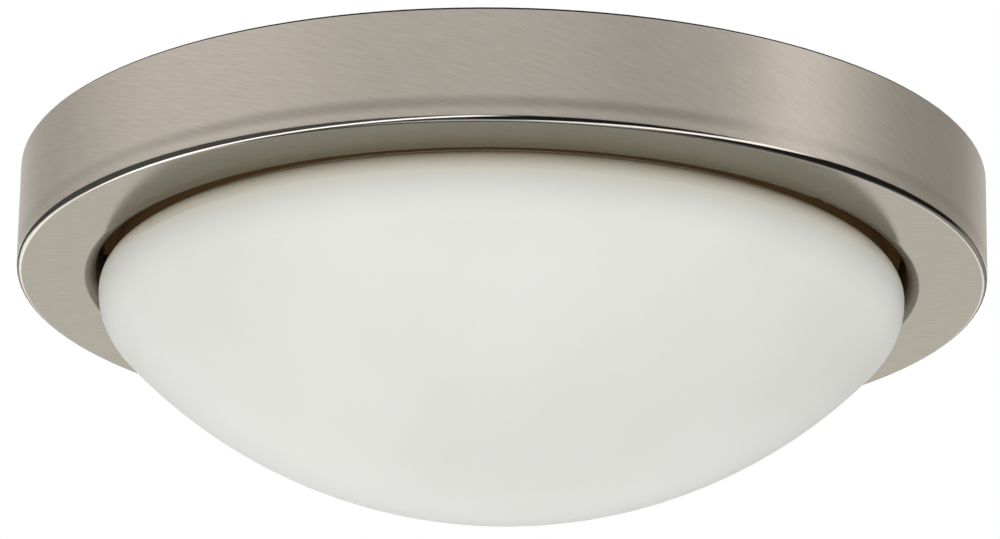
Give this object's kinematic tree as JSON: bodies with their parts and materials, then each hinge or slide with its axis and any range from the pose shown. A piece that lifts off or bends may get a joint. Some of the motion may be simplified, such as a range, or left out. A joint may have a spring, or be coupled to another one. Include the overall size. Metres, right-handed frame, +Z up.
{
  "type": "ceiling light",
  "caption": "Round flush ceiling light: brushed nickel drum and flange round a twist-on opal glass bowl, with screw lamps on porcelain holders inside.",
  "frame": {"origin": "centre of the mounting strap's slots on the ceiling plane", "axes": "+Z up into the ceiling; X along the mounting strap and the lamps; the picture looks along +Y from below"},
  "size_m": [0.3302, 0.3302, 0.1143],
  "materials": {
    "brushed_nickel": "brushed satin nickel plate on pressed steel",
    "opal_glass": "blown opal glass, satin outside",
    "white_enamel": "baked white enamel",
    "zinc_plated_steel": "bright zinc plate",
    "nickel_plate": "polished nickel plate",
    "rivet_aluminium": "plain drawn aluminium",
    "silicone": "translucent silicone",
    "black_rubber": "moulded black rubber",
    "glass_wool": "yellow glass wool felt",
    "green_paint": "green lacquered steel",
    "porcelain": "white glazed porcelain",
    "brass": "rolled brass",
    "lamp_diffuser": "frosted white polycarbonate",
    "lamp_housing": "moulded white plastic",
    "lamp_cap": "rolled bright cap",
    "lamp_insulator": "black glass",
    "nylon": "natural white nylon",
    "black_pvc": "black wire insulation",
    "white_pvc": "white wire insulation"
  },
  "bodies": {
    "fixture": {"trim_ring": "brushed_nickel", "inner_pan": "white_enamel", "mounting_strap": "zinc_plated_steel", "strap_studs": "zinc_plated_steel", "levelling_nuts": "zinc_plated_steel", "stud_washers": "zinc_plated_steel", "holder_screws": "zinc_plated_steel", "block_screw": "zinc_plated_steel", "socket_bracket_1": "zinc_plated_steel", "socket_bracket_2": "zinc_plated_steel", "glass_clip_1": "zinc_plated_steel", "glass_clip_2": "zinc_plated_steel", "glass_clip_3": "zinc_plated_steel", "cap_nuts": "nickel_plate", "clip_rivets": "rivet_aluminium", "bracket_rivets": "rivet_aluminium", "clip_pad_1": "silicone", "clip_pad_2": "silicone", "clip_pad_3": "silicone", "cable_grommet": "black_rubber", "insulation_pad": "glass_wool", "ground_screw": "green_paint", "lampholder_1": "porcelain", "lampholder_2": "porcelain", "screw_shell_1": "brass", "screw_shell_2": "brass", "centre_contact_1": "brass", "centre_contact_2": "brass", "terminal_sleeves": "brass", "clamp_screws": "brass", "terminal_block": "nylon", "lead_clip_1": "nylon", "lead_clip_2": "nylon", "live_lead_1": "black_pvc", "live_lead_2": "black_pvc", "neutral_lead_1": "white_pvc", "neutral_lead_2": "white_pvc"},
    "shade": {"glass_shade": "opal_glass"},
    "bulb_1": {"bulb_diffuser_1": "lamp_diffuser", "bulb_housing_1": "lamp_housing", "bulb_cap_1": "lamp_cap", "bulb_insulator_1": "lamp_insulator", "bulb_contact_1": "lamp_cap"},
    "bulb_2": {"bulb_diffuser_2": "lamp_diffuser", "bulb_housing_2": "lamp_housing", "bulb_cap_2": "lamp_cap", "bulb_insulator_2": "lamp_insulator", "bulb_contact_2": "lamp_cap"}
  },
  "joints": [
    {"name": "shade_twist", "type": "hinge", "parent": "fixture", "child": "shade", "pos_m": [0, 0, -0.0381], "axis": [0, 0, -1], "range_deg": [0, 25]},
    {"name": "bulb_1_unscrew", "type": "hinge", "parent": "fixture", "child": "bulb_1", "pos_m": [0, -0.034, -0.04803], "axis": [1, 0, 0], "range_deg": [0, 1440]},
    {"name": "bulb_2_unscrew", "type": "hinge", "parent": "fixture", "child": "bulb_2", "pos_m": [0, 0.034, -0.04803], "axis": [-1, 0, 0], "range_deg": [0, 1440]}
  ]
}
